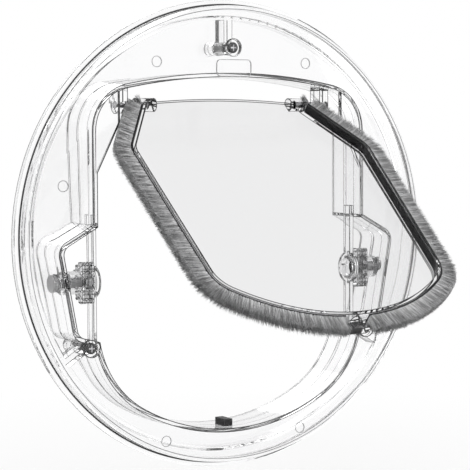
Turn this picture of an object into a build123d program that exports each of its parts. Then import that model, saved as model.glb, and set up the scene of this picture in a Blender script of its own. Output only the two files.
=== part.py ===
from build123d import *
from math import atan2, cos, degrees, hypot, radians, sin, sqrt, tan
import os

# Round pet door that clamps into a hole in a glass panel.
# X runs to the right, Y away from the viewer, Z up. The origin is on the axis of the
# clamp rings, in the plane where the front ring meets the flange. Millimetres.

os.makedirs("parts", exist_ok=True)

# Clamp rings
flange_radius = 120.0
flange_thickness = 4.0
front_lip = 3.0
front_depth = 7.0
rear_lip = 8.0
rear_depth = 11.0
ring_wall = 2.3
plate_thickness = 2.5
ring_edge_round = 2.0
flange_edge_round = 1.2

# Tunnel through the rings
tunnel_half_width = 78.0
tunnel_crown_z = 80.6
tunnel_arch_radius = 318.0
tunnel_corner_radius = 22.0
tunnel_side_low_z = -42.0
tunnel_heel_radius = 50.0
tunnel_heel_angle = 60.0
tunnel_wall = 2.2
tunnel_rear_y = 20.5
gusset_low_z = 33.0
gusset_tip_z = 57.5
gusset_reach = 12.5

# Side pockets for the locks
pocket_top_z = 6.4
pocket_depth = 19.0
pocket_outer_top_z = -4.0
pocket_low_depth = 11.0
pocket_low_z = -47.0
pocket_bottom_z = -50.0
pocket_round = 5.0
pocket_inset = 10.0

# Clamp screws
screw_rise = 14.9
screw_offset = 3.8
screw_low_z = -53.1
screw_head_radius = 2.8
screw_head_height = 2.2
screw_head_round = 0.9
screw_shank_radius = 1.75
screw_end_y = 12.0
screw_head_sink = 2.6
screw_seat_radius = 4.25
screw_clearance = 0.2
press_clearance = 0.03
cross_length = 3.4
cross_width = 0.8
cross_depth = 1.3
front_boss_radius = 5.5
rear_boss_radius = 3.75
rear_boss_y = 19.5
rear_boss_floor = 3.0
web_thickness = 5.0

# Front face details
window_width = 20.0
window_height = 8.0
window_rise = 4.6
window_round = 2.0
window_depth = 0.6
ejector_radius = 2.5
ejector_depth = 0.3
ejector_spots = ((-44, 88), (44, 88), (-96, 27), (96, 27), (-40, -103), (40, -103))

# Lock locations: bars that close the pockets and carry the bolts
lock_y = 3.2
lock_z = -21.0
bar_thickness = 2.5
bar_width = 5.5
bar_overlap = 6.0
bar_boss_radius = 8.0

# Lock knobs and bolts
bolt_travel = 4.3
nose_radius = 5.0
nose_straight = 2.7
nose_dome = 4.3
bolt_shaft_radius = 2.5
tail_radius = 4.3
tail_length = 4.5
tail_groove = 0.5
tail_groove_width = 1.0
tail_proud = 5.4
knob_gap = 0.4
knob_width = 6.5
knob_half_height = 10.25
knob_front = 6.2
knob_back = 5.8
knob_corner_round = 1.5
knob_scallop_radius = 1.4
knob_scallop_count = 7
knob_scallop_span = 130.0
knob_groove_width = 0.7
knob_groove_depth = 0.4
knob_groove_count = 3
hub_end_radius = 5.7
hub_wall_gap = 0.5
slide_clearance = 0.1
running_clearance = 0.05

# Flap
hinge_y = 5.3
hinge_drop = 14.1
open_angle = 50.0
flap_top_gap = 30.0
flap_top_rise = 3.5
flap_crown_rise = 7.3
rim_start = 3.0
rim_start_flare = 0.5
shoulder_drop = 37.0
shoulder_gap = 9.0
shoulder_round = 12.0
foot_rise = 26.0
foot_gap = 13.5
foot_round = 18.0
sheet_thickness = 2.0
sheet_back = -4.0
rim_front = 4.5
rim_wall = 2.0
sheet_lip = 3.0
lip_start = 10.0
ear_radius = 3.5
ear_length = 11.0
ear_overhang = 3.0
pin_radius = 1.5
pin_grip = 7.0
pin_end_gap = 0.5
bearing_gap = 6.0
bearing_length = 5.5
bearing_radius = 4.5
seat_gap = 0.05

# Pile seal round the flap's edge
backing_thickness = 0.8
pile_length = 3.4
seal_back = -1.5
seal_front = 4.0
seal_start = 4.0
seal_centre_gap = 6.6

# Catch and magnets
catch_half_width = 6.0
catch_length = 4.5
catch_root_sink = 1.5
catch_floor_gap = 4.5
flap_magnet_size = (6.0, 3.0, 3.0)
flap_magnet_tip_wall = 1.0
floor_magnet_size = (4.5, 10.0, 4.0)
floor_magnet_sink = 0.4

# Values that follow from the sizes above
front_radius = flange_radius - front_lip
rear_radius = flange_radius - rear_lip
tunnel_arch_sag = tunnel_arch_radius - sqrt(tunnel_arch_radius**2 - tunnel_half_width**2)
tunnel_shoulder_z = tunnel_crown_z - tunnel_arch_sag
heel_centre_x = tunnel_half_width - tunnel_heel_radius
heel_end_x = heel_centre_x + tunnel_heel_radius * cos(radians(tunnel_heel_angle))
heel_end_z = tunnel_side_low_z - tunnel_heel_radius * sin(radians(tunnel_heel_angle))
sole_radius = tunnel_heel_radius + heel_centre_x / cos(radians(tunnel_heel_angle))
tunnel_floor_z = tunnel_side_low_z + heel_centre_x * tan(radians(tunnel_heel_angle)) - sole_radius
pocket_outer_x = tunnel_half_width + pocket_depth
pocket_low_x = tunnel_half_width + pocket_low_depth
pocket_slope = (pocket_outer_x - pocket_low_x) / (pocket_outer_top_z - pocket_low_z)
pocket_wall_x = pocket_low_x + pocket_slope * (lock_z - pocket_low_z)
pocket_top_slope = (pocket_top_z - pocket_outer_top_z) / (pocket_outer_x - tunnel_half_width)
pocket_low_slope = (pocket_low_z - pocket_bottom_z) / (pocket_low_x - tunnel_half_width)
screw_seat_y = screw_head_sink - front_depth
screw_side_x = tunnel_half_width + screw_offset
screw_points = (
    (0, tunnel_crown_z + screw_rise),
    (-screw_side_x, screw_low_z),
    (screw_side_x, screw_low_z),
)
bar_inner_x = tunnel_half_width - bar_thickness
knob_inner_x = tunnel_half_width + knob_gap
knob_outer_x = knob_inner_x + knob_width
hub_end_x = pocket_wall_x - pocket_slope * hub_end_radius - hub_wall_gap
nose_length = nose_straight + nose_dome
nose_bore_x = bar_inner_x + nose_length + slide_clearance
tail_end_x = pocket_wall_x + tail_proud
tail_bore_x = tail_end_x - tail_length - bolt_travel - 2 * slide_clearance
hinge_z = tunnel_crown_z - hinge_drop
flap_top_half_width = tunnel_half_width - flap_top_gap
rim_start_half_width = flap_top_half_width + rim_start_flare
shoulder_half_width = tunnel_half_width - shoulder_gap
foot_half_width = tunnel_half_width - foot_gap
catch_tip_drop = hinge_z - tunnel_floor_z - catch_floor_gap
sole_drop = catch_tip_drop - catch_length
catch_root_drop = sole_drop - catch_root_sink
foot_drop = sole_drop - foot_rise
ear_outer_x = flap_top_half_width + ear_overhang
ear_inner_x = ear_outer_x - ear_length
bearing_inner_x = ear_outer_x + bearing_gap
bearing_outer_x = bearing_inner_x + bearing_length
pin_inner_x = ear_outer_x - pin_grip
pin_outer_x = bearing_outer_x - pin_end_gap


# A plane facing the viewer at a given depth, with X to the right and Z up
def facing(y):
    return Plane.XZ.offset(-y)


# Planes of the open flap: sketch x is the door's X, sketch y runs up the flap
flap_plane = Plane(
    origin=(0, hinge_y, hinge_z),
    x_dir=(1, 0, 0),
    z_dir=(0, -cos(radians(open_angle)), sin(radians(open_angle))),
)
# Plane across the flap's lower end, with the flap's front side as its y
catch_plane = Plane(
    origin=flap_plane.from_local_coords(Vector(0, -catch_root_drop, 0)),
    x_dir=(1, 0, 0),
    z_dir=flap_plane.y_dir * -1,
)
# Planes of a lock: across its axis, and along it with the radius upwards
lock_cross = Plane(origin=(0, lock_y, lock_z), x_dir=(0, 1, 0), z_dir=(1, 0, 0))
lock_side = Plane(origin=(0, lock_y, lock_z), x_dir=(1, 0, 0), z_dir=(0, -1, 0))
lock_axis = Axis((0, lock_y, lock_z), (1, 0, 0))
hinge_cross = Plane(origin=(0, hinge_y, hinge_z), x_dir=(0, 1, 0), z_dir=(1, 0, 0))

# Tunnel outline: arched top, straight sides, three-arc bottom and a pocket on each side
with BuildSketch() as mouth:
    with BuildLine():
        ThreePointArc(
            (-tunnel_half_width, tunnel_shoulder_z),
            (0, tunnel_crown_z),
            (tunnel_half_width, tunnel_shoulder_z),
        )
        Line((tunnel_half_width, tunnel_shoulder_z), (tunnel_half_width, tunnel_side_low_z))
        CenterArc((heel_centre_x, tunnel_side_low_z), tunnel_heel_radius, 0, -tunnel_heel_angle)
        ThreePointArc((heel_end_x, heel_end_z), (0, tunnel_floor_z), (-heel_end_x, heel_end_z))
        CenterArc((-heel_centre_x, tunnel_side_low_z), tunnel_heel_radius, 180, tunnel_heel_angle)
        Line((-tunnel_half_width, tunnel_side_low_z), (-tunnel_half_width, tunnel_shoulder_z))
    make_face()
    fillet(mouth.vertices().group_by(Axis.Y)[-1], tunnel_corner_radius)
    with BuildLine():
        FilletPolyline(
            (tunnel_half_width - pocket_inset, pocket_top_z + pocket_inset * pocket_top_slope),
            (pocket_outer_x, pocket_outer_top_z),
            (pocket_low_x, pocket_low_z),
            (tunnel_half_width - pocket_inset, pocket_bottom_z - pocket_inset * pocket_low_slope),
            radius=pocket_round,
            close=True,
        )
    make_face()
    mirror(about=Plane.YZ)

# Front plates that fill the tunnel's upper corners beside the flap's shoulders
with BuildSketch() as gusset_limit:
    offset(mouth.sketch, amount=tunnel_wall / 2)

with BuildSketch() as gussets:
    with BuildLine():
        Polyline(
            (tunnel_half_width + tunnel_wall / 2, gusset_low_z - tunnel_wall),
            (tunnel_half_width - gusset_reach, gusset_tip_z),
            (tunnel_half_width - gusset_reach, tunnel_crown_z),
            (tunnel_half_width + tunnel_wall / 2, tunnel_crown_z),
            close=True,
        )
    make_face()
    mirror(about=Plane.YZ)
    add(gusset_limit.sketch, mode=Mode.INTERSECT)

# Front clamp ring: a shallow pan with the tunnel's front lip, screw seats and webs
with BuildPart() as front_frame:
    with BuildSketch(Plane.XY) as front_profile:
        with BuildLine():
            Polyline(
                (0, -front_depth),
                (front_radius, -front_depth),
                (front_radius, 0),
                (front_radius - ring_wall, 0),
                (front_radius - ring_wall, plate_thickness - front_depth),
                (0, plate_thickness - front_depth),
                close=True,
            )
        make_face()
        fillet(front_profile.vertices().group_by(Axis.Y)[0].sort_by(Axis.X)[-1], ring_edge_round)
    revolve(axis=Axis.Y)
    with BuildSketch(facing(0)):
        for x, z in screw_points:
            with Locations((x, z)):
                Circle(front_boss_radius)
                Rectangle(
                    front_radius - ring_wall / 2 - hypot(x, z),
                    web_thickness,
                    rotation=degrees(atan2(z, x)),
                    align=(Align.MIN, Align.CENTER),
                )
        offset(mouth.sketch, amount=tunnel_wall)
    extrude(amount=front_depth - plate_thickness / 2)
    with BuildSketch(facing(0)):
        add(mouth.sketch)
    extrude(amount=front_depth, mode=Mode.SUBTRACT)
    with BuildSketch(facing(plate_thickness - front_depth)):
        add(gussets.sketch)
    extrude(amount=plate_thickness)
    with Locations(facing(-front_depth)):
        with Locations(*screw_points):
            CounterBoreHole(
                screw_shank_radius + screw_clearance, screw_seat_radius, screw_head_sink
            )
    with BuildSketch(facing(-front_depth)):
        with Locations((0, tunnel_crown_z + window_rise)):
            RectangleRounded(window_width, window_height, window_round)
    extrude(amount=-window_depth, mode=Mode.SUBTRACT)
    with BuildSketch(facing(plate_thickness - front_depth)):
        with Locations(*ejector_spots):
            Circle(ejector_radius)
    extrude(amount=ejector_depth, mode=Mode.SUBTRACT)
    with BuildSketch(lock_cross):
        Circle(tail_radius + slide_clearance)
    extrude(amount=pocket_outer_x + 2 * tunnel_wall, both=True, mode=Mode.SUBTRACT)
front_frame.part.label = "front_frame"
export_step(front_frame.part, "parts/front_frame.step")

# Rear clamp ring: flange against the glass, shallow pan, tunnel collar, pillars and lock bars
with BuildPart() as rear_frame:
    with BuildSketch(Plane.XY) as rear_profile:
        with BuildLine():
            Polyline(
                (rear_radius - ring_wall, 0),
                (flange_radius, 0),
                (flange_radius, flange_thickness),
                (rear_radius, flange_thickness),
                (rear_radius, rear_depth),
                (0, rear_depth),
                (0, rear_depth - plate_thickness),
                (rear_radius - ring_wall, rear_depth - plate_thickness),
                close=True,
            )
        make_face()
        fillet(rear_profile.vertices().group_by(Axis.X)[-1], flange_edge_round)
        fillet(rear_profile.vertices().group_by(Axis.Y)[-1].sort_by(Axis.X)[-1], ring_edge_round)
    revolve(axis=Axis.Y)
    with BuildSketch(facing(rear_depth - plate_thickness / 2)):
        for x, z in screw_points:
            with Locations((x, z)):
                Rectangle(
                    rear_radius - ring_wall / 2 - hypot(x, z),
                    web_thickness,
                    rotation=degrees(atan2(z, x)),
                    align=(Align.MIN, Align.CENTER),
                )
    extrude(amount=rear_depth - plate_thickness / 2)
    with BuildSketch(facing(rear_boss_y)):
        with Locations(*screw_points):
            Circle(rear_boss_radius)
    extrude(amount=rear_boss_y)
    with BuildSketch(facing(tunnel_rear_y)):
        offset(mouth.sketch, amount=tunnel_wall)
    extrude(amount=tunnel_rear_y)
    with BuildSketch(facing(tunnel_rear_y)):
        add(mouth.sketch)
    extrude(amount=tunnel_rear_y, mode=Mode.SUBTRACT)
    with BuildSketch(facing(0)):
        with Locations(*screw_points):
            Circle(screw_shank_radius + press_clearance)
    extrude(amount=rear_boss_floor - rear_boss_y, mode=Mode.SUBTRACT)
    with BuildSketch(facing(lock_y + bar_width / 2)):
        with Locations((bar_inner_x, (pocket_top_z + pocket_bottom_z) / 2)):
            Rectangle(
                bar_thickness,
                pocket_top_z - pocket_bottom_z + 2 * bar_overlap,
                align=(Align.MIN, Align.CENTER),
            )
        mirror(about=Plane.YZ)
    extrude(amount=bar_width)
    for side in (-1, 1):
        with BuildSketch(lock_cross.offset(side * bar_inner_x)):
            Circle(bar_boss_radius)
        extrude(amount=side * bar_thickness)
        with BuildSketch(lock_cross.offset(side * bar_inner_x)):
            Circle(nose_radius + slide_clearance)
        extrude(amount=side * (bar_thickness + tunnel_wall), mode=Mode.SUBTRACT)
    with BuildSketch(lock_cross):
        Circle(tail_radius + slide_clearance)
    extrude(amount=pocket_outer_x + 2 * tunnel_wall, both=True, mode=Mode.SUBTRACT)
    with BuildSketch(Plane.XY.offset(tunnel_floor_z - floor_magnet_sink)):
        with Locations((0, hinge_y)):
            Rectangle(floor_magnet_size[0] + 2 * seat_gap, floor_magnet_size[1] + 2 * seat_gap)
    extrude(amount=floor_magnet_size[2], mode=Mode.SUBTRACT)
rear_frame.part.label = "rear_frame"
export_step(rear_frame.part, "parts/rear_frame.step")

# Clamp screws: pan heads with a cross recess, one solid for each seat
for name, screw_point in zip(("top", "left", "right"), screw_points):
    with BuildPart() as clamp_screw:
        with BuildSketch(facing(screw_end_y)):
            with Locations(screw_point):
                Circle(screw_shank_radius)
        extrude(amount=screw_end_y - screw_seat_y)
        with BuildSketch(facing(screw_seat_y)):
            with Locations(screw_point):
                Circle(screw_head_radius)
        extrude(amount=screw_head_height)
        head_rim = clamp_screw.edges().filter_by(GeomType.CIRCLE).group_by(Axis.Y)[0]
        fillet(head_rim, screw_head_round)
        with BuildSketch(facing(screw_seat_y - screw_head_height)):
            with Locations(screw_point):
                Rectangle(cross_length, cross_width)
                Rectangle(cross_width, cross_length)
        extrude(amount=-cross_depth, mode=Mode.SUBTRACT)
    clamp_screw.part.label = f"{name}_clamp_screw"
    export_step(clamp_screw.part, f"parts/{name}_clamp_screw.step")

# Magnet let into the tunnel's floor under the closed flap
with BuildPart() as floor_magnet:
    with BuildSketch(Plane.XY.offset(tunnel_floor_z - floor_magnet_sink)):
        with Locations((0, hinge_y)):
            Rectangle(floor_magnet_size[0], floor_magnet_size[1])
    extrude(amount=floor_magnet_size[2])
floor_magnet.part.label = "floor_magnet"
export_step(floor_magnet.part, "parts/floor_magnet.step")

# Pivot bearings hang from the tunnel's crown, one at each end of the hinge axis
for name, side in (("left", -1), ("right", 1)):
    with BuildPart() as bearing:
        with BuildSketch(hinge_cross.offset(side * bearing_inner_x)):
            Circle(bearing_radius)
            Rectangle(2 * bearing_radius, tunnel_crown_z - hinge_z, align=(Align.CENTER, Align.MIN))
        extrude(amount=side * (bearing_outer_x - bearing_inner_x))
        with BuildSketch(facing(hinge_y + bearing_radius)):
            offset(mouth.sketch, amount=-seat_gap)
        extrude(amount=2 * bearing_radius, mode=Mode.INTERSECT)
        with BuildSketch(hinge_cross.offset(side * bearing_inner_x)):
            Circle(pin_radius + running_clearance)
        extrude(amount=side * (pin_outer_x - bearing_inner_x + seat_gap), mode=Mode.SUBTRACT)
    bearing.part.label = f"{name}_pivot_bearing"
    export_step(bearing.part, f"parts/{name}_pivot_bearing.step")

# Flap outline, seen from its front side with the hinge axis at zero
with BuildSketch() as flap_outline:
    with BuildLine():
        ThreePointArc(
            (-flap_top_half_width, flap_top_rise),
            (0, flap_crown_rise),
            (flap_top_half_width, flap_top_rise),
        )
        Polyline(
            (flap_top_half_width, flap_top_rise),
            (rim_start_half_width, -rim_start),
            (shoulder_half_width, -shoulder_drop),
            (foot_half_width, -foot_drop),
        )
        ThreePointArc((foot_half_width, -foot_drop), (0, -sole_drop), (-foot_half_width, -foot_drop))
        Polyline(
            (-foot_half_width, -foot_drop),
            (-shoulder_half_width, -shoulder_drop),
            (-rim_start_half_width, -rim_start),
            (-flap_top_half_width, flap_top_rise),
        )
    make_face()
    for side in (-1, 1):
        shoulder = (side * shoulder_half_width, -shoulder_drop)
        fillet(flap_outline.vertices().sort_by_distance(shoulder)[0], shoulder_round)
        foot = (side * foot_half_width, -foot_drop)
        fillet(flap_outline.vertices().sort_by_distance(foot)[0], foot_round)

# Everything on the flap below a given drop from the hinge axis
with BuildSketch() as rim_zone:
    with Locations((0, -rim_start)):
        Rectangle(4 * shoulder_half_width, 2 * sole_drop, align=(Align.CENTER, Align.MAX))

with BuildSketch() as lip_zone:
    with Locations((0, -lip_start)):
        Rectangle(4 * shoulder_half_width, 2 * sole_drop, align=(Align.CENTER, Align.MAX))

# Flap: a clear sheet with a rim standing on its front, hinge ears and the pointed catch
with BuildPart() as flap_panel:
    with BuildSketch(flap_plane.offset(sheet_back)):
        offset(flap_outline.sketch, amount=sheet_lip)
        add(lip_zone.sketch, mode=Mode.INTERSECT)
        add(flap_outline.sketch)
    extrude(amount=sheet_thickness)
    with BuildSketch(flap_plane.offset(sheet_back)):
        add(flap_outline.sketch)
        offset(flap_outline.sketch, amount=-rim_wall, mode=Mode.SUBTRACT)
        add(rim_zone.sketch, mode=Mode.INTERSECT)
    extrude(amount=rim_front - sheet_back)
    for side in (-1, 1):
        with BuildSketch(hinge_cross.offset(side * ear_inner_x)):
            Circle(ear_radius)
        extrude(amount=side * (ear_outer_x - ear_inner_x))
    with BuildSketch(catch_plane):
        with BuildLine():
            Polyline(
                (0, rim_front),
                (catch_half_width, sheet_back),
                (-catch_half_width, sheet_back),
                close=True,
            )
        make_face()
    extrude(amount=catch_tip_drop - catch_root_drop)
    for side in (-1, 1):
        with BuildSketch(hinge_cross.offset(side * pin_inner_x)):
            Circle(pin_radius + press_clearance)
        extrude(amount=side * (pin_outer_x - pin_inner_x), mode=Mode.SUBTRACT)
    with BuildSketch(flap_plane.offset(sheet_back)):
        with Locations((0, flap_magnet_tip_wall - catch_tip_drop)):
            Rectangle(
                flap_magnet_size[0] + 2 * seat_gap,
                flap_magnet_size[1] + 2 * seat_gap,
                align=(Align.CENTER, Align.MIN),
            )
    extrude(amount=flap_magnet_size[2] + seat_gap, mode=Mode.SUBTRACT)
flap_panel.part.label = "flap_panel"
export_step(flap_panel.part, "parts/flap_panel.step")

# Magnet in the back of the catch
with BuildPart() as flap_magnet:
    with BuildSketch(flap_plane.offset(sheet_back)):
        with Locations((0, flap_magnet_tip_wall + seat_gap - catch_tip_drop)):
            Rectangle(flap_magnet_size[0], flap_magnet_size[1], align=(Align.CENTER, Align.MIN))
    extrude(amount=flap_magnet_size[2])
flap_magnet.part.label = "flap_magnet"
export_step(flap_magnet.part, "parts/flap_magnet.step")

# Hinge pins, held in the flap's ears and turning in the bearings
for name, side in (("left", -1), ("right", 1)):
    with BuildPart() as hinge_pin:
        with BuildSketch(hinge_cross.offset(side * pin_inner_x)):
            Circle(pin_radius)
        extrude(amount=side * (pin_outer_x - pin_inner_x))
    hinge_pin.part.label = f"{name}_hinge_pin"
    export_step(hinge_pin.part, f"parts/{name}_hinge_pin.step")

# Seal strips: a backing on the rim and the pile that stands on it, split at the catch
with BuildSketch() as seal_zone:
    with Locations((seal_centre_gap, -seal_start)):
        Rectangle(2 * shoulder_half_width, 2 * sole_drop, align=(Align.MIN, Align.MAX))

for name, side in (("left", -1), ("right", 1)):
    with BuildPart() as seal_backing:
        with BuildSketch(flap_plane.offset(seal_back)):
            offset(flap_outline.sketch, amount=backing_thickness)
            add(flap_outline.sketch, mode=Mode.SUBTRACT)
            if side > 0:
                add(seal_zone.sketch, mode=Mode.INTERSECT)
            else:
                add(seal_zone.sketch.mirror(Plane.YZ), mode=Mode.INTERSECT)
        extrude(amount=seal_front - seal_back)
    seal_backing.part.label = f"{name}_seal_backing"
    export_step(seal_backing.part, f"parts/{name}_seal_backing.step")

    with BuildPart() as seal_pile:
        with BuildSketch(flap_plane.offset(seal_back)):
            offset(flap_outline.sketch, amount=backing_thickness + pile_length)
            offset(flap_outline.sketch, amount=backing_thickness, mode=Mode.SUBTRACT)
            if side > 0:
                add(seal_zone.sketch, mode=Mode.INTERSECT)
            else:
                add(seal_zone.sketch.mirror(Plane.YZ), mode=Mode.INTERSECT)
        extrude(amount=seal_front - seal_back)
    seal_pile.part.label = f"{name}_seal_pile"
    export_step(seal_pile.part, f"parts/{name}_seal_pile.step")

# Lock knob of the right pocket: flat thumb face in front, scalloped back, tapered hub
knob_reach = knob_front + knob_back
knob_arc_radius = (knob_half_height**2 + knob_reach**2) / (2 * knob_reach)
with BuildPart() as right_lock_knob:
    with BuildSketch(lock_cross.offset(knob_inner_x)) as knob_section:
        with BuildLine():
            Line((-knob_front, knob_half_height), (-knob_front, -knob_half_height))
            ThreePointArc(
                (-knob_front, -knob_half_height),
                (knob_back, 0),
                (-knob_front, knob_half_height),
            )
        make_face()
        fillet(knob_section.vertices(), knob_corner_round)
        with Locations((knob_back - knob_arc_radius, 0)):
            with PolarLocations(
                knob_arc_radius,
                knob_scallop_count,
                start_angle=-knob_scallop_span / 2,
                angular_range=knob_scallop_span,
                endpoint=True,
            ):
                Circle(knob_scallop_radius, mode=Mode.SUBTRACT)
    extrude(amount=knob_width)
    with BuildSketch(facing(lock_y - knob_front)):
        with Locations((knob_inner_x + knob_width / 2, lock_z)):
            with GridLocations(knob_width / (knob_groove_count + 1), 0, knob_groove_count, 1):
                Rectangle(knob_groove_width, 4 * knob_half_height)
    extrude(amount=-knob_groove_depth, mode=Mode.SUBTRACT)
    with BuildSketch(lock_side):
        with BuildLine():
            Polyline(
                (knob_outer_x - knob_width / 2, 0),
                (hub_end_x, 0),
                (hub_end_x, hub_end_radius),
                (knob_outer_x, knob_back),
                (knob_outer_x - knob_width / 2, knob_back),
                close=True,
            )
        make_face()
    revolve(axis=lock_axis)
    with BuildSketch(lock_side):
        with BuildLine():
            Polyline(
                (knob_inner_x, 0),
                (hub_end_x, 0),
                (hub_end_x, tail_radius + slide_clearance),
                (tail_bore_x, tail_radius + slide_clearance),
                (tail_bore_x, bolt_shaft_radius + running_clearance),
                (nose_bore_x, bolt_shaft_radius + running_clearance),
                (nose_bore_x, nose_radius + slide_clearance),
                (knob_inner_x, nose_radius + slide_clearance),
                close=True,
            )
        make_face()
    revolve(axis=lock_axis, mode=Mode.SUBTRACT)
right_lock_knob.part.label = "right_lock_knob"
export_step(right_lock_knob.part, "parts/right_lock_knob.step")

with BuildPart() as left_lock_knob:
    mirror(right_lock_knob.part, about=Plane.YZ)
left_lock_knob.part.label = "left_lock_knob"
export_step(left_lock_knob.part, "parts/left_lock_knob.step")

# Lock bolts: the left one stands drawn back, the right one reaches into the tunnel
for name, side, reach in (("left", -1, 0.0), ("right", 1, bolt_travel)):
    tip_x = bar_inner_x - reach
    nose_back_x = tip_x + nose_length
    tail_x = tail_end_x - reach
    with BuildPart() as bolt_nose:
        with BuildSketch(lock_side):
            with BuildLine():
                ThreePointArc(
                    (side * tip_x, 0),
                    (side * (tip_x + nose_dome * (1 - sqrt(0.5))), nose_radius * sqrt(0.5)),
                    (side * (tip_x + nose_dome), nose_radius),
                )
                Polyline(
                    (side * (tip_x + nose_dome), nose_radius),
                    (side * nose_back_x, nose_radius),
                    (side * nose_back_x, 0),
                    (side * tip_x, 0),
                )
            make_face()
        revolve(axis=lock_axis)
    bolt_nose.part.label = f"{name}_bolt_nose"
    export_step(bolt_nose.part, f"parts/{name}_bolt_nose.step")

    with BuildPart() as bolt_shaft:
        with BuildSketch(lock_side):
            with BuildLine():
                Polyline(
                    (side * nose_back_x, 0),
                    (side * nose_back_x, bolt_shaft_radius),
                    (side * (tail_x - tail_length), bolt_shaft_radius),
                    (side * (tail_x - tail_length), tail_radius),
                    (side * tail_x, tail_radius),
                    (side * tail_x, 0),
                    close=True,
                )
            make_face()
            with Locations((side * (tail_x - tail_length / 2), tail_radius)):
                Rectangle(tail_groove_width, 2 * tail_groove, mode=Mode.SUBTRACT)
        revolve(axis=lock_axis)
    bolt_shaft.part.label = f"{name}_bolt_shaft"
    export_step(bolt_shaft.part, f"parts/{name}_bolt_shaft.step")
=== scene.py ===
import bpy
import bmesh
import math
from mathutils import Matrix, Vector


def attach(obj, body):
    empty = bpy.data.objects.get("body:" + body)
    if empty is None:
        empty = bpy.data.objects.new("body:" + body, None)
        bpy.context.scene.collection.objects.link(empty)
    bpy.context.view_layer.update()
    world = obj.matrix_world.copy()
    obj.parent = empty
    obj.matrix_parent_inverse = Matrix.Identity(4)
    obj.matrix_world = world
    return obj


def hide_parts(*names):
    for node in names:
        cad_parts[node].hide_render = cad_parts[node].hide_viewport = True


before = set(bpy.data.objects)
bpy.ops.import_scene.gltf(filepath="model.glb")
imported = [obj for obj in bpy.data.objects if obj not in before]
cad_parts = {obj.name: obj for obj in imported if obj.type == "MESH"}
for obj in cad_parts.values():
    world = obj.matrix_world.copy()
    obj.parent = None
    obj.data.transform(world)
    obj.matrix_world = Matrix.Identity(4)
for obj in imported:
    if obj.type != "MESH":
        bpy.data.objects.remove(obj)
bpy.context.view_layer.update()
scene = bpy.context.scene
scene.view_settings.view_transform = "Standard"
print("frame loaded:", len(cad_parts), "nodes")

mm = 0.001
sides = ("left", "right")
weldDistance = 0.004 * mm   # points of a CAD mesh closer than this are one

# light runs a long way inside clear walls
bounces = {"all": 40, "transmission": 40, "glossy": 24}
scene.cycles.max_bounces = bounces["all"]
scene.cycles.transmission_bounces = bounces["transmission"]
scene.cycles.glossy_bounces = bounces["glossy"]


def newObject(name, data):
    item = bpy.data.objects.new(name, data)
    scene.collection.objects.link(item)
    return item


# camera, as the photograph was taken: from the left and a little above
photoView = {
    "azimuth": -30.8,
    "elevation": 3.4,
    "roll": 0.3,
    "distance": 950 * mm,
    "target": (0.0, -7 * mm, 0.0),
    "lens": 142.2,
    "sensor": 36.0,
    "clip": (0.01, 50.0),
}


def makeCamera():
    a = math.radians(photoView["azimuth"])
    e = math.radians(photoView["elevation"])
    back = Vector((math.sin(a) * math.cos(e), -math.cos(a) * math.cos(e), math.sin(e)))
    target = Vector(photoView["target"])
    data = bpy.data.cameras.new("photoCamera")
    data.lens = photoView["lens"]
    data.sensor_width = photoView["sensor"]
    data.clip_start, data.clip_end = photoView["clip"]
    camera = newObject("photoCamera", data)
    look = (-back).to_track_quat("-Z", "Y").to_matrix().to_4x4()
    place = Matrix.Translation(target + back * photoView["distance"]) @ look
    camera.matrix_world = Matrix.Rotation(math.radians(photoView["roll"]), 4, "Y") @ place
    scene.camera = camera
    print("camera placed")


# material helpers
def newMaterial(name):
    material = bpy.data.materials.new(name)
    material.use_nodes = True
    nodes = material.node_tree.nodes
    shader = nodes["Principled BSDF"]
    return material, nodes, material.node_tree.links, shader


def colour(r, g, b):
    return (r, g, b, 1.0)


# speckle shared by the moulded and fabric finishes: a fine mottle of two colours, and its height
mottleLook = {
    "detail": 5.0,
    "roughness": 0.6,
    "lowNoise": 0.3,
    "highNoise": 0.7,
    "reliefDepth": 0.1 * mm,
}


def makeMottleGroup():
    group = bpy.data.node_groups.new("mottle", "ShaderNodeTree")
    for title, kind in (("Vector", "Vector"), ("Scale", "Float"), ("Low", "Color"), ("High", "Color")):
        group.interface.new_socket(title, in_out="INPUT", socket_type="NodeSocket" + kind)
    for title, kind in (("Colour", "Color"), ("Height", "Float")):
        group.interface.new_socket(title, in_out="OUTPUT", socket_type="NodeSocket" + kind)
    start = group.nodes.new("NodeGroupInput")
    end = group.nodes.new("NodeGroupOutput")
    noise = group.nodes.new("ShaderNodeTexNoise")
    noise.inputs["Detail"].default_value = mottleLook["detail"]
    noise.inputs["Roughness"].default_value = mottleLook["roughness"]
    spread = group.nodes.new("ShaderNodeMapRange")
    spread.inputs["From Min"].default_value = mottleLook["lowNoise"]
    spread.inputs["From Max"].default_value = mottleLook["highNoise"]
    mix = group.nodes.new("ShaderNodeMix")
    mix.data_type = "RGBA"
    link = group.links.new
    link(start.outputs["Vector"], noise.inputs["Vector"])
    link(start.outputs["Scale"], noise.inputs["Scale"])
    link(noise.outputs["Fac"], spread.inputs["Value"])
    link(spread.outputs["Result"], mix.inputs["Factor"])
    link(start.outputs["Low"], mix.inputs["A"])
    link(start.outputs["High"], mix.inputs["B"])
    link(mix.outputs["Result"], end.inputs["Colour"])
    link(spread.outputs["Result"], end.inputs["Height"])
    return group


mottle = makeMottleGroup()


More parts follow.
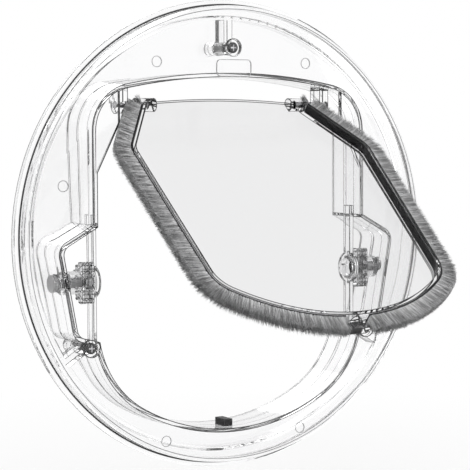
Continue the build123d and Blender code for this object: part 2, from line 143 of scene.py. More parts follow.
# opaque finish with a mottle in colour and relief
def mottledFinish(name, look):
    material, nodes, links, shader = newMaterial(name)
    where = nodes.new("ShaderNodeTexCoord")
    speckle = nodes.new("ShaderNodeGroup")
    speckle.node_tree = mottle
    speckle.inputs["Scale"].default_value = look["scale"]
    speckle.inputs["Low"].default_value = colour(*look["low"])
    speckle.inputs["High"].default_value = colour(*look["high"])
    bump = nodes.new("ShaderNodeBump")
    bump.inputs["Strength"].default_value = look["relief"]
    bump.inputs["Distance"].default_value = mottleLook["reliefDepth"]
    links.new(where.outputs["Object"], speckle.inputs["Vector"])
    links.new(speckle.outputs["Colour"], shader.inputs["Base Color"])
    links.new(speckle.outputs["Height"], bump.inputs["Height"])
    links.new(bump.outputs["Normal"], shader.inputs["Normal"])
    shader.inputs["Roughness"].default_value = look["roughness"]
    shader.inputs["Metallic"].default_value = look.get("metallic", 0.0)
    shader.inputs["Specular IOR Level"].default_value = look.get("specular", 0.5)
    return material


# clear moulding: white face on, with painted shade where the surface turns away from the view
def clearFinish(name, look):
    material, nodes, links, shader = newMaterial(name)
    # painted shade: the colour runs from the face colour to the darker rim colour as the surface turns
    # edge-on
    facing = nodes.new("ShaderNodeLayerWeight")
    ramp = nodes.new("ShaderNodeValToRGB")
    ramp.color_ramp.elements[0].position = look["rimStart"]
    ramp.color_ramp.elements[0].color = colour(*look["face"])
    ramp.color_ramp.elements[1].position = 1.0
    ramp.color_ramp.elements[1].color = colour(*look["rim"])
    links.new(facing.outputs["Facing"], ramp.inputs["Fac"])
    links.new(ramp.outputs["Color"], shader.inputs["Base Color"])
    shader.inputs["Transmission Weight"].default_value = 1.0
    shader.inputs["Roughness"].default_value = look["roughness"]
    shader.inputs["IOR"].default_value = look["ior"]
    return material


clearPlastic = clearFinish("clearPlastic", {
    "rimStart": 0.62, "face": (0.985, 0.985, 0.987), "rim": (0.55, 0.55, 0.56),
    "roughness": 0.02, "ior": 1.49,
})
# below the plastic's own index, or the flap's rim is broken up into dots
flapPlastic = clearFinish("flapPlastic", {
    "rimStart": 0.6, "face": (0.845, 0.845, 0.848), "rim": (0.25, 0.25, 0.26),
    "roughness": 0.03, "ior": 1.15,
})
nosePlastic = clearFinish("nosePlastic", {
    "rimStart": 0.3, "face": (0.92, 0.92, 0.925), "rim": (0.05, 0.05, 0.055),
    "roughness": 0.03, "ior": 1.49,
})
knobSmoke = clearFinish("knobSmoke", {
    "rimStart": 0.3, "face": (0.8, 0.8, 0.805), "rim": (0.4, 0.4, 0.405),
    "roughness": 0.12, "ior": 1.49,
})
# edge lines in three strengths, painted shade where clear plastic shows dark at its edges
lineFinishes = {
    "dark": mottledFinish("edgeShadeDark", {
        "scale": 900, "low": (0.02, 0.02, 0.021), "high": (0.06, 0.06, 0.062),
        "relief": 0.0, "roughness": 0.5,
    }),
    "faint": mottledFinish("edgeShadeFaint", {
        "scale": 900, "low": (0.16, 0.16, 0.165), "high": (0.34, 0.34, 0.345),
        "relief": 0.0, "roughness": 0.5,
    }),
    "hint": mottledFinish("edgeShadeHint", {
        "scale": 900, "low": (0.5, 0.5, 0.505), "high": (0.66, 0.66, 0.665),
        "relief": 0.0, "roughness": 0.5,
    }),
}
shaftGrey = mottledFinish("shaftGrey", {
    "scale": 900, "low": (0.38, 0.38, 0.385), "high": (0.5, 0.5, 0.505),
    "relief": 0.12, "roughness": 0.38,
})
magnetBlack = mottledFinish("magnetBlack", {
    "scale": 1200, "low": (0.01, 0.01, 0.01), "high": (0.028, 0.028, 0.03),
    "relief": 0.3, "roughness": 0.6,
})
pinSteel = mottledFinish("pinSteel", {
    "scale": 700, "low": (0.3, 0.3, 0.31), "high": (0.5, 0.5, 0.51),
    "relief": 0.1, "roughness": 0.3, "metallic": 1.0,
})
backingWeave = mottledFinish("backingWeave", {
    "scale": 1600, "low": (0.012, 0.012, 0.013), "high": (0.05, 0.05, 0.052),
    "relief": 0.5, "roughness": 0.9, "specular": 0.1,
})
screwLook = {
    "scale": 1500, "low": (0.03, 0.03, 0.03), "high": (0.1, 0.1, 0.102),
    "relief": 0.1, "roughness": 0.35, "metallic": 0.4,
}
screwBlack = mottledFinish("screwBlack", screwLook)

# middle of each clamp screw, in X and Z
screwPlaces = {
    "top_clamp_screw": (0.0, 95.5 * mm),
    "left_clamp_screw": (-81.8 * mm, -53.1 * mm),
    "right_clamp_screw": (81.8 * mm, -53.1 * mm),
}
# painted highlight in the recess of each head: how far it reaches from the middle, and the Y of its mouth
# and floor
recessGlint = {
    "reach": 1.8 * mm,
    "mouthY": -6.45 * mm,
    "floorY": -5.1 * mm,
    "edge": 0.12 * mm,
    "bright": (0.85, 0.85, 0.86),
}


# black screw head with a painted highlight where the walls of its recess would catch the light
def screwGlintFinish(node):
    material = mottledFinish("screwBlackGlint_" + node, screwLook)
    nodes = material.node_tree.nodes
    links = material.node_tree.links
    shader = nodes["Principled BSDF"]
    black = shader.inputs["Base Color"].links[0].from_socket
    x, z = screwPlaces[node]
    where = nodes.new("ShaderNodeTexCoord")
    middle = nodes.new("ShaderNodeMapping")
    middle.inputs["Location"].default_value = (-x, 0.0, -z)
    middle.inputs["Scale"].default_value = (1.0, 0.0, 1.0)
    away = nodes.new("ShaderNodeVectorMath")
    away.operation = "LENGTH"
    links.new(where.outputs["Object"], middle.inputs["Vector"])
    links.new(middle.outputs["Vector"], away.inputs[0])
    depth = nodes.new("ShaderNodeSeparateXYZ")
    links.new(where.outputs["Object"], depth.inputs[0])
    glintMasks = []
    for source, start, end in (
        (away.outputs["Value"], recessGlint["reach"] + recessGlint["edge"], recessGlint["reach"]),
        (depth.outputs["Y"], recessGlint["mouthY"], recessGlint["mouthY"] + recessGlint["edge"]),
        (depth.outputs["Y"], recessGlint["floorY"] + recessGlint["edge"], recessGlint["floorY"]),
    ):
        inside = nodes.new("ShaderNodeMapRange")
        inside.inputs["From Min"].default_value = start
        inside.inputs["From Max"].default_value = end
        links.new(source, inside.inputs["Value"])
        glintMasks.append(inside.outputs["Result"])
    glintMask = glintMasks[0]
    for other in glintMasks[1:]:
        both = nodes.new("ShaderNodeMath")
        both.operation = "MULTIPLY"
        links.new(glintMask, both.inputs[0])
        links.new(other, both.inputs[1])
        glintMask = both.outputs[0]
    # painted highlight: the recess takes the bright colour
    mix = nodes.new("ShaderNodeMix")
    mix.data_type = "RGBA"
    mix.inputs["B"].default_value = colour(*recessGlint["bright"])
    links.new(glintMask, mix.inputs["Factor"])
    links.new(black, mix.inputs["A"])
    links.new(mix.outputs["Result"], shader.inputs["Base Color"])
    return material


# pile fibre: each one its own grey plus painted light on the front rows, paler at the root and a little at
# the tip
def fibreFinish(name, look):
    material, nodes, links, shader = newMaterial(name)
    own = nodes.new("ShaderNodeAttribute")
    own.attribute_name = "ownGreyAndFrontLight"
    along = nodes.new("ShaderNodeAttribute")
    along.attribute_name = "alongFibre"
    shade = nodes.new("ShaderNodeValToRGB")
    shade.color_ramp.elements[0].color = colour(*look["dark"])
    shade.color_ramp.elements[1].color = colour(*look["pale"])
    tip = nodes.new("ShaderNodeMix")
    tip.data_type = "RGBA"
    tip.inputs["B"].default_value = colour(*look["tip"])
    fade = nodes.new("ShaderNodeValToRGB")
    for index, (place, share) in enumerate(look["fade"]):
        if index > 1:
            fade.color_ramp.elements.new(place)   # a new ramp has two
        fade.color_ramp.elements[index].position = place
        fade.color_ramp.elements[index].color = colour(share, share, share)
    links.new(own.outputs["Fac"], shade.inputs["Fac"])
    links.new(along.outputs["Fac"], fade.inputs["Fac"])
    links.new(fade.outputs["Color"], tip.inputs["Factor"])
    links.new(shade.outputs["Color"], tip.inputs["A"])
    links.new(tip.outputs["Result"], shader.inputs["Base Color"])
    shader.inputs["Roughness"].default_value = look["roughness"]
    shader.inputs["Specular IOR Level"].default_value = look["specular"]
    return material


pileFibre = fibreFinish("pileFibre", {
    "dark": (0.02, 0.02, 0.022), "pale": (0.8, 0.8, 0.805), "tip": (0.8, 0.8, 0.805),
    "roughness": 0.6, "specular": 0.3,
    "fade": ((0.0, 0.45), (0.4, 0.14), (0.75, 0.0), (1.0, 0.16)),   # how far along, and how pale there
})

# CAD nodes that keep their shape take their finish here
nodeFinish = {"floor_magnet": magnetBlack, "flap_magnet": magnetBlack}
for node in screwPlaces:
    nodeFinish[node] = screwGlintFinish(node)
for side in sides:
    nodeFinish[side + "_hinge_pin"] = pinSteel
    nodeFinish[side + "_seal_backing"] = backingWeave
    nodeFinish[side + "_bolt_shaft"] = shaftGrey
print("finishes made")


def dressNodes():
    for name, material in nodeFinish.items():
        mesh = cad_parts[name].data
        mesh.materials.clear()
        mesh.materials.append(material)
    print("nodes dressed:", len(nodeFinish))


# Geometry Nodes tree with named inputs
def newTree(name, inputs):
    tree = bpy.data.node_groups.new(name, "GeometryNodeTree")
    tree.interface.new_socket("Geometry", in_out="INPUT", socket_type="NodeSocketGeometry")
    for title, kind in inputs.items():
        tree.interface.new_socket(title, in_out="INPUT", socket_type="NodeSocket" + kind)
    tree.interface.new_socket("Geometry", in_out="OUTPUT", socket_type="NodeSocketGeometry")
    return tree, tree.nodes.new, tree.links.new, tree.nodes.new("NodeGroupInput")


# each tree ends in plain geometry with its finish on
def closeTree(tree, start, shape):
    link = tree.links.new
    solid = tree.nodes.new("GeometryNodeRealizeInstances")
    paint = tree.nodes.new("GeometryNodeSetMaterial")
    end = tree.nodes.new("NodeGroupOutput")
    link(shape, solid.inputs["Geometry"])
    link(solid.outputs["Geometry"], paint.inputs["Geometry"])
    link(start.outputs["Finish"], paint.inputs["Material"])
    link(paint.outputs["Geometry"], end.inputs["Geometry"])
    return tree


# what a tree makes of an object, as a plain mesh
def grownMesh(piece, tree, values):
    grow = piece.modifiers.new("grow", "NODES")
    grow.node_group = tree
    for item in tree.interface.items_tree:
        if item.item_type == "SOCKET" and item.in_out == "INPUT" and item.name in values:
            grow[item.identifier] = values[item.name]
    bpy.context.view_layer.update()
    mesh = bpy.data.meshes.new_from_object(piece.evaluated_get(bpy.context.evaluated_depsgraph_get()))
    piece.modifiers.clear()
    return mesh


# clear pieces: the CAD shape with a line of painted shade along each sharp edge, where clear plastic shows
# dark
# "line" and "width" are the strength and size of that line
# "rings" and "faintRings" hold the radius, Y and width of painted shade lines on rounded edges
markPairs = ((44, 88), (96, 27), (40, -103))   # X and Z of the round mould marks
hintSpots = [(sign * x * mm, z * mm, 4 * mm) for x, z in markPairs for sign in (-1, 1)]
hintSpots.append((0.0, 85 * mm, 12 * mm))      # the window in the top bar
clearPieces = {
    "front_frame": {
        "name": "frontRing", "body": "frame", "slot": "clear_plastic",
        "finish": clearPlastic, "line": "dark", "width": 0.46 * mm,
        # the dark ring is painted shade in the corner where the flange meets the pan wall
        "rings": [(117.5 * mm, -0.5 * mm, 0.95 * mm)],
        "faintRings": [(115.0 * mm, -6.95 * mm, 0.4 * mm)],
        "partY": 0.0,                # where it meets the rear ring
        "faintRadius": 102 * mm,     # lines further out are faint
        "plainRadius": 109 * mm,     # and from here there are only the rings
        "hintSpots": hintSpots,
    },
    "rear_frame": {
        "name": "rearRing", "body": "frame", "slot": "clear_plastic",
        "finish": clearPlastic, "line": "faint", "width": 0.32 * mm,
        "faintRings": [(119.55 * mm, 2.6 * mm, 0.6 * mm)],
        "plainRadius": 109 * mm,
    },
}
for side in sides:
    clearPieces[side + "_pivot_bearing"] = {
        "name": side + "Bearing", "body": "frame", "slot": "clear_plastic",
        "finish": clearPlastic, "line": "dark", "width": 0.4 * mm,
    }
clearPieces["flap_panel"] = {
    "name": "flapSheet", "body": "flap", "slot": "flap_plastic",
    "finish": flapPlastic, "line": "dark", "width": 0.44 * mm,
}
for side in sides:
    clearPieces[side + "_bolt_nose"] = {
        "name": side + "Nose", "body": side + "_bolt", "slot": "clear_plastic",
        "finish": nosePlastic, "line": "faint", "width": 0.2 * mm,
    }
for side in sides:
    clearPieces[side + "_lock_knob"] = {
        "name": side + "Knob", "body": side + "_knob", "slot": "grey_plastic",
        "finish": knobSmoke, "line": "dark", "width": 0.25 * mm,
        "bore": 5.6 * mm,            # no lines this close to the lock's axis
    }
lockAxis = {"y": 3.2 * mm, "z": -21.0 * mm}
edgeRules = {
    "flatAngle": 0.6,             # degrees; faces that turn by less are one
    "joinAngle": 15,              # triangles that turn by less are joined in pairs
    "joinShape": 180,             # whatever shape that makes
    "lineAngle": 32,              # an edge that turns by more has a line
    "shadeAngle": 30,             # and by more than this is shaded as sharp
    "flatArea": 400 * mm * mm,    # faces larger than this are flat, and shaded so
    "lineDepth": 0.55,            # how far a line's middle lies under its edge, as a share of its width
    "lineCorners": 5,
    "ringSteps": 240,
    "hintWidth": 0.7,             # a hint's width, as a share of the piece's lines
    "hintY": -4 * mm,             # hints are in front of this
    "hintDrop": 5 * mm,           # and no further than this below the middle of their spot
    "partBand": 0.6 * mm,         # no lines this close to where the rings meet
    "partTouch": 0.01 * mm,       # points this close to it are drawn back
    "partGap": 0.08 * mm,         # by this much
}
noLine, mainLine, faintLine, hintLine = range(4)
bodyLines = {}


# a thin tube of painted shade along each marked edge, sunk under the surface by its depth
def makeEdgeLineTree():
    tree, node, link, start = newTree("edgeLine", {
        "Width": "Float", "Depth": "Float", "Kind": "Int", "Finish": "Material",
    })
    outward = node("GeometryNodeInputNormal")
    turn = node("ShaderNodeMath")
    turn.operation = "MULTIPLY"
    turn.inputs[1].default_value = -1.0
    link(start.outputs["Depth"], turn.inputs[0])
    under = node("ShaderNodeVectorMath")
    under.operation = "SCALE"
    link(outward.outputs["Normal"], under.inputs[0])
    link(turn.outputs[0], under.inputs["Scale"])
    sink = node("GeometryNodeSetPosition")
    link(start.outputs["Geometry"], sink.inputs["Geometry"])
    link(under.outputs["Vector"], sink.inputs["Offset"])
    mark = node("GeometryNodeInputNamedAttribute")
    mark.data_type = "INT"
    mark.inputs["Name"].default_value = "lineKind"
    wanted = node("FunctionNodeCompare")
    wanted.data_type = "INT"
    wanted.operation = "EQUAL"
    link(mark.outputs["Attribute"], wanted.inputs["A"])
    link(start.outputs["Kind"], wanted.inputs["B"])
    path = node("GeometryNodeMeshToCurve")
    link(sink.outputs["Geometry"], path.inputs["Mesh"])
    link(wanted.outputs["Result"], path.inputs["Selection"])
    half = node("ShaderNodeMath")
    half.operation = "MULTIPLY"
    half.inputs[1].default_value = 0.5
    link(start.outputs["Width"], half.inputs[0])
    profile = node("GeometryNodeCurvePrimitiveCircle")
    profile.inputs["Resolution"].default_value = edgeRules["lineCorners"]
    link(half.outputs[0], profile.inputs["Radius"])
    line = node("GeometryNodeCurveToMesh")
    line.inputs["Fill Caps"].default_value = True
    link(path.outputs["Curve"], line.inputs["Curve"])
    link(profile.outputs["Curve"], line.inputs["Profile Curve"])
    return closeTree(tree, start, line.outputs["Mesh"])


def edgeLines(tree, mesh, kind, strength, width, depth):
    carrier = newObject("lineCarrier", mesh)
    lines = grownMesh(carrier, tree, {
        "Width": width, "Depth": depth, "Kind": kind, "Finish": lineFinishes[strength],
    })
    bpy.data.objects.remove(carrier)
    return lines


# a circle round the opening, where a rounded edge has no sharp one
def ringPath(radius, y):
    steps = edgeRules["ringSteps"]
    turns = [2 * math.pi * i / steps for i in range(steps)]
    points = [(radius * math.sin(a), y, radius * math.cos(a)) for a in turns]
    path = bpy.data.meshes.new("ringPath")
    path.from_pydata(points, [(i, (i + 1) % steps) for i in range(steps)], [])
    path.attributes.new("lineKind", "INT", "EDGE").data.foreach_set("value", [mainLine] * steps)
    return path


def lineKind(edge, look):
    if edge.calc_face_angle(0.0) < math.radians(edgeRules["lineAngle"]):
        return noLine
    middle = (edge.verts[0].co + edge.verts[1].co) / 2
    across = math.hypot(middle.x, middle.z)
    for x, z, reach in look.get("hintSpots", ()):
        near = math.hypot(middle.x - x, middle.z - z) < reach
        if near and middle.y < edgeRules["hintY"] and middle.z > z - edgeRules["hintDrop"]:
            return hintLine
    if across > look.get("plainRadius", math.inf):
        return noLine   # the ring has its own lines
    if "partY" in look and middle.y > look["partY"] - edgeRules["partBand"]:
        return noLine   # the rear ring draws these
    if math.hypot(middle.y - lockAxis["y"], middle.z - lockAxis["z"]) < look.get("bore", 0.0):
        return noLine   # the bolt slides here
    if across > look.get("faintRadius", math.inf):
        return faintLine
    return mainLine


# a copy of the CAD shape with fewer faces, and a line kind on each edge
def clearMesh(node, look):
    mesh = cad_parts[node].data.copy()
    mesh.name = look["name"]
    work = bmesh.new()
    work.from_mesh(mesh)
    bmesh.ops.remove_doubles(work, verts=work.verts, dist=weldDistance)
    bmesh.ops.dissolve_limit(
        work, angle_limit=math.radians(edgeRules["flatAngle"]), verts=work.verts, edges=work.edges,
    )
    # rounded edges in four-sided strips
    bmesh.ops.join_triangles(
        work, faces=work.faces,
        angle_face_threshold=math.radians(edgeRules["joinAngle"]),
        angle_shape_threshold=math.radians(edgeRules["joinShape"]),
    )
    if "partY" in look:
        # a hair of air where the two rings meet, because faces that touch render as a black band
        for vert in work.verts:
            if vert.co.y > look["partY"] - edgeRules["partTouch"]:
                vert.co.y = look["partY"] - edgeRules["partGap"]
    marks = work.edges.layers.int.new("lineKind")
    for edge in work.edges:
        edge[marks] = lineKind(edge, look)
    work.to_mesh(mesh)
    work.free()
    if "custom_normal" in mesh.attributes:
        mesh.attributes.remove(mesh.attributes["custom_normal"])
    mesh.materials.clear()
    mesh.materials.append(look["finish"])
    mesh.polygons.foreach_set("material_index", [0] * len(mesh.polygons))
    mesh.polygons.foreach_set("use_smooth", [face.area < edgeRules["flatArea"] for face in mesh.polygons])
    mesh.set_sharp_from_angle(angle=math.radians(edgeRules["shadeAngle"]))
    return mesh


def drawLines(tree, mesh, look):
    drawn = bodyLines.setdefault(look["body"], {"slot": look["slot"], "dark": [], "faint": [], "hint": []})
    depth = edgeRules["lineDepth"] * look["width"]
    for kind, strength, share in (
        (mainLine, look["line"], 1.0),
        (faintLine, "faint", 1.0),
        (hintLine, "hint", edgeRules["hintWidth"]),
    ):
        drawn[strength].append(edgeLines(tree, mesh, kind, strength, share * look["width"], depth))
    for strength, key in (("dark", "rings"), ("faint", "faintRings")):
        for radius, y, width in look.get(key, ()):
            path = ringPath(radius, y)
            drawn[strength].append(edgeLines(tree, path, mainLine, strength, width, 0.0))


def makeClearPiece(tree, node, look):
    mesh = clearMesh(node, look)
    drawLines(tree, mesh, look)
    mesh.attributes.remove(mesh.attributes["lineKind"])
    piece = newObject(look["name"], mesh)
    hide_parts(node)
    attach(piece, look["body"])
    print("clear piece", look["name"], len(mesh.polygons), "faces")


# all the painted shade lines of one body in one piece
def makeBodyLines(body, drawn):
    mesh = bpy.data.meshes.new(body + "EdgeShadeLines")
    joined = bmesh.new()
    for strength, finish in lineFinishes.items():
        filled = [lines for lines in drawn[strength] if len(lines.polygons)]
        if filled:
            mesh.materials.append(finish)
        for lines in filled:
            lines.polygons.foreach_set("material_index", [len(mesh.materials) - 1] * len(lines.polygons))
            lines.polygons.foreach_set("use_smooth", [True] * len(lines.polygons))
            joined.from_mesh(lines)
    joined.to_mesh(mesh)
    joined.free()
    piece = newObject(body + "EdgeShadeLines", mesh)
    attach(piece, body)
    print("edge lines", body, len(mesh.polygons), "faces")


# pile round the flap: fine fibres standing on the outer face of each backing strip
pile = {
    "density": 16e6,        # fibres for each square metre of backing
    "length": 7.9 * mm,
    "root": 0.13 * mm,
    "tip": 0.04 * mm,
    "corners": 3,
    "lean": 0.15,
    "spread": 0.07,         # share by which lengths differ
    "seed": 7,
    "greySeed": 3,
    "darkest": 0.45,        # a fibre's own grey runs from here to 1
    "tuftScale": 1300.0,
    "tuftDetail": 1.0,
    "tuftDark": 0.46,       # noise under this is a dark tuft
    "tuftPale": 0.56,       # and over this a pale one
    "paintedFrontLight": 0.3,       # painted light: how much paler the frontmost row is
    "openAngle": 50.0,
    "hinge": (0.0, 5.3 * mm, 66.5 * mm),
    "middleDrop": 80 * mm,  # from the hinge to the middle of the flap
    "facing": 0.3,          # how squarely a face of the backing looks outward, to bear fibres
}


def makePileTree():
    tree, node, link, start = newTree("pileFibres", {
        "Density": "Float", "Length": "Float", "Root": "Float", "Tip": "Float",
        "Lean": "Float", "Spread": "Float", "Seed": "Int",
        "Front": "Vector", "Front Start": "Float", "Front End": "Float", "Finish": "Material",
    })
    scatter = node("GeometryNodeDistributePointsOnFaces")
    link(start.outputs["Geometry"], scatter.inputs["Mesh"])
    link(start.outputs["Density"], scatter.inputs["Density"])
    link(start.outputs["Seed"], scatter.inputs["Seed"])
    # one fibre: an open spike standing on its root
    fibre = node("GeometryNodeMeshCone")
    fibre.fill_type = "NONE"
    fibre.inputs["Vertices"].default_value = pile["corners"]
    fibre.inputs["Side Segments"].default_value = 1
    link(start.outputs["Tip"], fibre.inputs["Radius Top"])
    link(start.outputs["Root"], fibre.inputs["Radius Bottom"])
    link(start.outputs["Length"], fibre.inputs["Depth"])
    # keep how far along the fibre each point is, for its colour
    place = node("GeometryNodeInputPosition")
    split = node("ShaderNodeSeparateXYZ")
    share = node("ShaderNodeMath")
    share.operation = "DIVIDE"
    link(place.outputs[0], split.inputs[0])
    link(split.outputs["Z"], share.inputs[0])
    link(start.outputs["Length"], share.inputs[1])
    along = node("GeometryNodeStoreNamedAttribute")
    along.data_type = "FLOAT"
    along.domain = "POINT"
    along.inputs["Name"].default_value = "alongFibre"
    link(fibre.outputs["Mesh"], along.inputs["Geometry"])
    link(share.outputs[0], along.inputs["Value"])
    # lean each fibre a little off the backing's normal
    leanLow = node("ShaderNodeMath")
    leanLow.operation = "MULTIPLY"
    leanLow.inputs[1].default_value = -1.0
    link(start.outputs["Lean"], leanLow.inputs[0])
    lowVector = node("ShaderNodeCombineXYZ")
    highVector = node("ShaderNodeCombineXYZ")
    for axis in ("X", "Y", "Z"):
        link(leanLow.outputs[0], lowVector.inputs[axis])
        link(start.outputs["Lean"], highVector.inputs[axis])
    wobble = node("FunctionNodeRandomValue")
    wobble.data_type = "FLOAT_VECTOR"
    link(lowVector.outputs[0], wobble.inputs["Min"])
    link(highVector.outputs[0], wobble.inputs["Max"])
    link(start.outputs["Seed"], wobble.inputs["Seed"])
    direction = node("ShaderNodeVectorMath")
    direction.operation = "ADD"
    link(scatter.outputs["Normal"], direction.inputs[0])
    link(wobble.outputs["Value"], direction.inputs[1])
    turn = node("FunctionNodeAlignRotationToVector")
    turn.axis = "Z"
    link(direction.outputs[0], turn.inputs["Vector"])
    # lengths differ; inputs 2 and 3 and output 1 of a random value are its plain numbers
    shortest = node("ShaderNodeMath")
    shortest.operation = "SUBTRACT"
    shortest.inputs[0].default_value = 1.0
    link(start.outputs["Spread"], shortest.inputs[1])
    size = node("FunctionNodeRandomValue")
    size.data_type = "FLOAT"
    link(shortest.outputs[0], size.inputs[2])
    size.inputs[3].default_value = 1.0
    sizeVector = node("ShaderNodeCombineXYZ")
    sizeVector.inputs["X"].default_value = 1.0
    sizeVector.inputs["Y"].default_value = 1.0
    link(size.outputs[1], sizeVector.inputs["Z"])
    plant = node("GeometryNodeInstanceOnPoints")
    link(scatter.outputs["Points"], plant.inputs["Points"])
    link(along.outputs["Geometry"], plant.inputs["Instance"])
    link(turn.outputs["Rotation"], plant.inputs["Rotation"])
    link(sizeVector.outputs[0], plant.inputs["Scale"])
    # its own grey: part chance, part the tuft it stands in
    grey = node("FunctionNodeRandomValue")
    grey.data_type = "FLOAT"
    grey.inputs[2].default_value = pile["darkest"]
    grey.inputs["Seed"].default_value = pile["greySeed"]
    tuft = node("ShaderNodeTexNoise")
    tuft.inputs["Scale"].default_value = pile["tuftScale"]
    tuft.inputs["Detail"].default_value = pile["tuftDetail"]
    spot = node("GeometryNodeInputPosition")
    link(spot.outputs[0], tuft.inputs["Vector"])
    strong = node("ShaderNodeMapRange")
    strong.inputs["From Min"].default_value = pile["tuftDark"]
    strong.inputs["From Max"].default_value = pile["tuftPale"]
    link(tuft.outputs[0], strong.inputs["Value"])
    mingled = node("ShaderNodeMath")
    mingled.operation = "MULTIPLY"
    link(strong.outputs["Result"], mingled.inputs[0])
    link(grey.outputs[1], mingled.inputs[1])
    # painted light: the rows at the front of the flap are paler, as on their lit side
    ahead = node("ShaderNodeVectorMath")
    ahead.operation = "DOT_PRODUCT"
    link(spot.outputs[0], ahead.inputs[0])
    link(start.outputs["Front"], ahead.inputs[1])
    paler = node("ShaderNodeMapRange")
    paler.inputs["To Max"].default_value = pile["paintedFrontLight"]
    link(ahead.outputs["Value"], paler.inputs["Value"])
    link(start.outputs["Front Start"], paler.inputs["From Min"])
    link(start.outputs["Front End"], paler.inputs["From Max"])
    both = node("ShaderNodeMath")
    both.operation = "ADD"
    link(mingled.outputs[0], both.inputs[0])
    link(paler.outputs["Result"], both.inputs[1])
    own = node("GeometryNodeStoreNamedAttribute")
    own.data_type = "FLOAT"
    own.domain = "INSTANCE"
    own.inputs["Name"].default_value = "ownGreyAndFrontLight"
    link(plant.outputs["Instances"], own.inputs["Geometry"])
    link(both.outputs[0], own.inputs["Value"])
    return closeTree(tree, start, own.outputs["Geometry"])


# the ways to the front and down the flap, as it hangs open at rest
def flapAxes():
    a = math.radians(pile["openAngle"])
    front = Vector((0, -math.cos(a), math.sin(a)))
    down = Vector((0, -math.sin(a), -math.cos(a)))
    return front, down


# outer faces of a backing strip, as a mesh that the pile stands on
def pileBed(node):
    front, down = flapAxes()
    middle = Vector(pile["hinge"]) + down * pile["middleDrop"]
    work = bmesh.new()
    work.from_mesh(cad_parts[node].data)
    bmesh.ops.remove_doubles(work, verts=work.verts, dist=weldDistance)
    work.normal_update()
    doomed = []
    for face in work.faces:
        outward = face.calc_center_median() - middle
        outward -= front * outward.dot(front)
        sideways = abs(face.normal.dot(front)) > pile["facing"]
        if sideways or face.normal.dot(outward.normalized()) < pile["facing"]:
            doomed.append(face)
    bmesh.ops.delete(work, geom=doomed, context="FACES")
    mesh = bpy.data.meshes.new(node + "_bed")
    work.to_mesh(mesh)
    work.free()
    return mesh


def makePile(tree, side):
    piece = newObject(side + "Pile", pileBed(side + "_seal_backing"))
    front = flapAxes()[0]
    along = [front.dot(vert.co) for vert in piece.data.vertices]
    finished = grownMesh(piece, tree, {
        "Density": pile["density"], "Length": pile["length"], "Root": pile["root"], "Tip": pile["tip"],
        "Lean": pile["lean"], "Spread": pile["spread"], "Seed": pile["seed"],
        "Front": front, "Front Start": min(along), "Front End": max(along), "Finish": pileFibre,
    })
    piece.data = finished
    finished.polygons.foreach_set("use_smooth", [True] * len(finished.polygons))
    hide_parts(side + "_seal_pile")
    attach(piece, "flap")
    print("pile", side, len(finished.polygons), "faces")


# coarse threads on the clamp screws, all three in one piece
thread = {
    "startY": -3.6 * mm,
    "length": 15.2 * mm,
    "turns": 12.0,
    "steps": 20,            # to each turn
    "radius": 1.8 * mm,
    "ridge": 0.26 * mm,
    "corners": 4,
}


def makeThreadTree():
    tree, node, link, start = newTree("screwThread", {
        "Turns": "Float", "Radius": "Float", "Length": "Float", "Ridge": "Float", "Finish": "Material",
    })
    helix = node("GeometryNodeCurveSpiral")
    helix.inputs["Resolution"].default_value = thread["steps"]
    link(start.outputs["Turns"], helix.inputs["Rotations"])
    link(start.outputs["Radius"], helix.inputs["Start Radius"])
    link(start.outputs["Radius"], helix.inputs["End Radius"])
    link(start.outputs["Length"], helix.inputs["Height"])
    profile = node("GeometryNodeCurvePrimitiveCircle")
    profile.inputs["Resolution"].default_value = thread["corners"]
    link(start.outputs["Ridge"], profile.inputs["Radius"])
    ridge = node("GeometryNodeCurveToMesh")
    ridge.inputs["Fill Caps"].default_value = True
    link(helix.outputs["Curve"], ridge.inputs["Curve"])
    link(profile.outputs["Curve"], ridge.inputs["Profile Curve"])
    # the spiral climbs in Z, the screws lie along Y
    lay = node("GeometryNodeTransform")
    lay.inputs["Rotation"].default_value = (math.radians(-90), 0.0, 0.0)
    link(ridge.outputs["Mesh"], lay.inputs["Geometry"])
    plant = node("GeometryNodeInstanceOnPoints")
    link(start.outputs["Geometry"], plant.inputs["Points"])
    link(lay.outputs["Geometry"], plant.inputs["Instance"])
    return closeTree(tree, start, plant.outputs["Instances"])


def makeThreads():
    mesh = bpy.data.meshes.new("screwThreads")
    mesh.from_pydata([(x, thread["startY"], z) for x, z in screwPlaces.values()], [], [])
    piece = newObject("screwThreads", mesh)
    finished = grownMesh(piece, makeThreadTree(), {
        "Turns": thread["turns"], "Radius": thread["radius"], "Length": thread["length"],
        "Ridge": thread["ridge"], "Finish": screwBlack,
    })
    piece.data = finished
    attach(piece, "frame")
    print("threads", len(finished.polygons), "faces")


# white all round and a pale floor, with soft lamps in front on both sides and behind
stageLook = {
    "floorZ": -150 * mm,
    "floorSize": 6.0,
    "floorGrey": 0.9,
    "floorRoughness": 0.9,
    "shadowNear": 0.15,     # from here on the floor's shadow fades
    "shadowFar": 0.5,       # and here it is gone
    "shadowWhite": 0.8,     # share of white in it at its strongest
    "skyLight": 0.55,
    "lampSize": 0.9,
    "lamps": {
        "keyLight": {"place": (-0.8, -1.3, 1.1), "power": 14.0},
        "fillLight": {"place": (1.2, -1.0, 0.5), "power": 4.0},
        "backLight": {"place": (0.2, 1.4, 0.9), "power": 4.0},
    },
}


# 1 for rays that show in the picture, straight or by way of shiny and clear surfaces
def seenRays(nodes, links):
    path = nodes.new("ShaderNodeLightPath")
    seen = path.outputs["Is Camera Ray"]
    for kind in ("Is Glossy Ray", "Is Transmission Ray"):
        either = nodes.new("ShaderNodeMath")
        either.operation = "MAXIMUM"
        links.new(seen, either.inputs[0])
        links.new(path.outputs[kind], either.inputs[1])
        seen = either.outputs[0]
    return seen


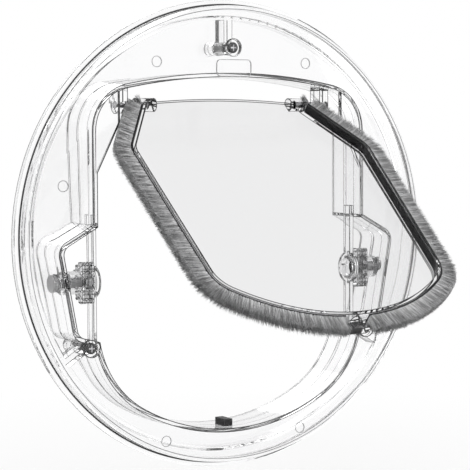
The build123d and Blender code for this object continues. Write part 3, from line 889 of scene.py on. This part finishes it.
# seen as white, but a softer light on the door
def makeSky():
    world = bpy.data.worlds.new("softSky")
    scene.world = world
    world.use_nodes = True
    nodes = world.node_tree.nodes
    links = world.node_tree.links
    nodes.clear()
    out = nodes.new("ShaderNodeOutputWorld")
    white = nodes.new("ShaderNodeBackground")
    white.inputs["Color"].default_value = colour(1, 1, 1)
    white.inputs["Strength"].default_value = 1.0
    soft = nodes.new("ShaderNodeBackground")
    soft.inputs["Color"].default_value = colour(1, 1, 1)
    soft.inputs["Strength"].default_value = stageLook["skyLight"]
    blend = nodes.new("ShaderNodeMixShader")
    links.new(seenRays(nodes, links), blend.inputs["Fac"])
    links.new(soft.outputs[0], blend.inputs[1])
    links.new(white.outputs[0], blend.inputs[2])
    links.new(blend.outputs[0], out.inputs["Surface"])


# near the door the floor takes its shadow; further off it runs into the white
def floorFinish():
    material, nodes, links, shader = newMaterial("paleFloor")
    grey = stageLook["floorGrey"]
    shader.inputs["Base Color"].default_value = colour(grey, grey, grey)
    shader.inputs["Roughness"].default_value = stageLook["floorRoughness"]
    glow = nodes.new("ShaderNodeEmission")
    glow.inputs["Color"].default_value = colour(1, 1, 1)
    glow.inputs["Strength"].default_value = 1.0
    where = nodes.new("ShaderNodeTexCoord")
    away = nodes.new("ShaderNodeVectorMath")
    away.operation = "LENGTH"
    links.new(where.outputs["Object"], away.inputs[0])
    fade = nodes.new("ShaderNodeMapRange")
    fade.inputs["From Min"].default_value = stageLook["shadowNear"]
    fade.inputs["From Max"].default_value = stageLook["shadowFar"]
    fade.inputs["To Min"].default_value = stageLook["shadowWhite"]
    fade.inputs["To Max"].default_value = 1.0
    links.new(away.outputs["Value"], fade.inputs["Value"])
    share = nodes.new("ShaderNodeMath")
    share.operation = "MULTIPLY"
    links.new(seenRays(nodes, links), share.inputs[0])
    links.new(fade.outputs["Result"], share.inputs[1])
    mix = nodes.new("ShaderNodeMixShader")
    links.new(share.outputs[0], mix.inputs["Fac"])
    links.new(shader.outputs[0], mix.inputs[1])
    links.new(glow.outputs[0], mix.inputs[2])
    links.new(mix.outputs[0], nodes["Material Output"].inputs["Surface"])
    return material


def makeFloor():
    half = stageLook["floorSize"] / 2
    z = stageLook["floorZ"]
    corners = [(-half, -half, z), (half, -half, z), (half, half, z), (-half, half, z)]
    mesh = bpy.data.meshes.new("paleFloor")
    mesh.from_pydata(corners, [], [(0, 1, 2, 3)])
    mesh.materials.append(floorFinish())
    floor = newObject("paleFloor", mesh)


def makeLamps():
    for name, look in stageLook["lamps"].items():
        data = bpy.data.lights.new(name, "AREA")
        data.energy = look["power"]
        data.size = stageLook["lampSize"]
        lamp = newObject(name, data)
        lamp.location = look["place"]
        lamp.rotation_euler = (-Vector(look["place"])).to_track_quat("-Z", "Y").to_euler()


makeCamera()
dressNodes()
lineTree = makeEdgeLineTree()
for node, look in clearPieces.items():
    makeClearPiece(lineTree, node, look)
for body, drawn in bodyLines.items():
    makeBodyLines(body, drawn)
pileTree = makePileTree()
for side in sides:
    makePile(pileTree, side)
makeThreads()
makeSky()
makeFloor()
makeLamps()
print("stage set")
